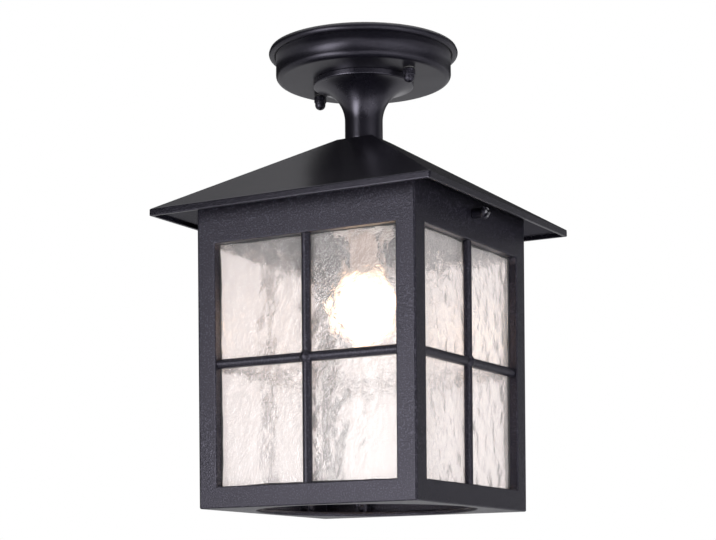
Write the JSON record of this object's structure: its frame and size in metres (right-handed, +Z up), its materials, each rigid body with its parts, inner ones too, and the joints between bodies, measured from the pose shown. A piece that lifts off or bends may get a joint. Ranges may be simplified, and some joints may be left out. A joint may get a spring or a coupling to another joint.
{
  "type": "porch ceiling lantern",
  "caption": "Square cast lantern with cross-barred, water-textured panes under a low pyramid roof, hung from a round ceiling plate by a trumpet-shaped stem.",
  "frame": {"origin": "on the ceiling plane, on the lantern's vertical axis, at the middle of the two ceiling screw holes", "axes": "+Z up into the ceiling; the four sides of the lantern face along +X, -X, +Y and -Y, and the two body screws lie on X"},
  "size_m": [0.2154, 0.2154, 0.3259],
  "materials": {
    "black_powder_coat": "satin powder coat with a fine grain",
    "water_glass": "clear water-textured glass",
    "lamp_glass": "soft white glass, lit warm",
    "filament": "glowing wire",
    "zinc_steel": "bright zinc plating",
    "brass": "turned brass",
    "tinned_metal": "tinned",
    "nickel_shell": "nickel plating",
    "foam": "closed-cell foam",
    "black_rubber": "moulded rubber",
    "white_plastic": "moulded plastic",
    "lampholder_ceramic": "glazed ceramic",
    "black_glass": "fused black insulator",
    "brown_lead": "lead insulation",
    "blue_lead": "lead insulation",
    "green_yellow_lead": "lead insulation"
  },
  "bodies": {
    "lantern": {"mounting_bracket": "zinc_steel", "bracket_studs": "zinc_steel", "stud_lock_nuts": "zinc_steel", "earth_screw": "brass", "ceiling_gasket": "foam", "ceiling_plate": "black_powder_coat", "stud_seals": "black_rubber", "terminal_block": "white_plastic", "terminal_sleeves": "brass", "terminal_screws": "brass", "block_screw": "zinc_steel", "stem": "black_powder_coat", "stem_tube": "zinc_steel", "tube_lock_nuts": "zinc_steel", "tube_washers": "zinc_steel", "tube_bushes": "white_plastic", "stem_seal": "black_rubber", "earth_tag": "tinned_metal", "roof": "black_powder_coat", "holder_stirrup": "zinc_steel", "holder_screws": "zinc_steel", "holder_body": "lampholder_ceramic", "holder_shell": "nickel_shell", "holder_contact": "brass", "lantern_body": "black_powder_coat", "pane_front": "water_glass", "pane_right": "water_glass", "pane_rear": "water_glass", "pane_left": "water_glass", "pane_seals": "black_rubber", "pane_clips": "black_powder_coat", "clip_screws": "black_powder_coat", "live_lead": "brown_lead", "neutral_lead": "blue_lead", "earth_lead": "green_yellow_lead"},
    "lamp": {"lamp_cap": "nickel_shell", "lamp_insulator": "black_glass", "lamp_contact": "tinned_metal", "lamp_bulb": "lamp_glass", "lamp_mount": "lamp_glass", "lamp_filament": "filament"},
    "cap_nut_right": {"cap_nut_right": "black_powder_coat"},
    "cap_nut_left": {"cap_nut_left": "black_powder_coat"},
    "body_screw_right": {"body_screw_right": "black_powder_coat"},
    "body_screw_left": {"body_screw_left": "black_powder_coat"}
  },
  "joints": [
    {"name": "lamp_draw", "type": "slide", "parent": "lantern", "child": "lamp", "axis": [0, 0, -1], "range_m": [0, 0.235]},
    {"name": "cap_nut_right_turn", "type": "hinge", "parent": "lantern", "child": "cap_nut_right", "pos_m": [0.04437, -0.01416, -0.028], "axis": [0, 0, 1], "continuous": true},
    {"name": "cap_nut_left_turn", "type": "hinge", "parent": "lantern", "child": "cap_nut_left", "pos_m": [-0.04437, 0.01416, -0.028], "axis": [0, 0, 1], "continuous": true},
    {"name": "body_screw_right_turn", "type": "hinge", "parent": "lantern", "child": "body_screw_right", "pos_m": [0.085, 0, -0.1287], "axis": [1, 0, 0], "continuous": true},
    {"name": "body_screw_left_turn", "type": "hinge", "parent": "lantern", "child": "body_screw_left", "pos_m": [-0.085, 0, -0.1287], "axis": [-1, 0, 0], "continuous": true}
  ]
}
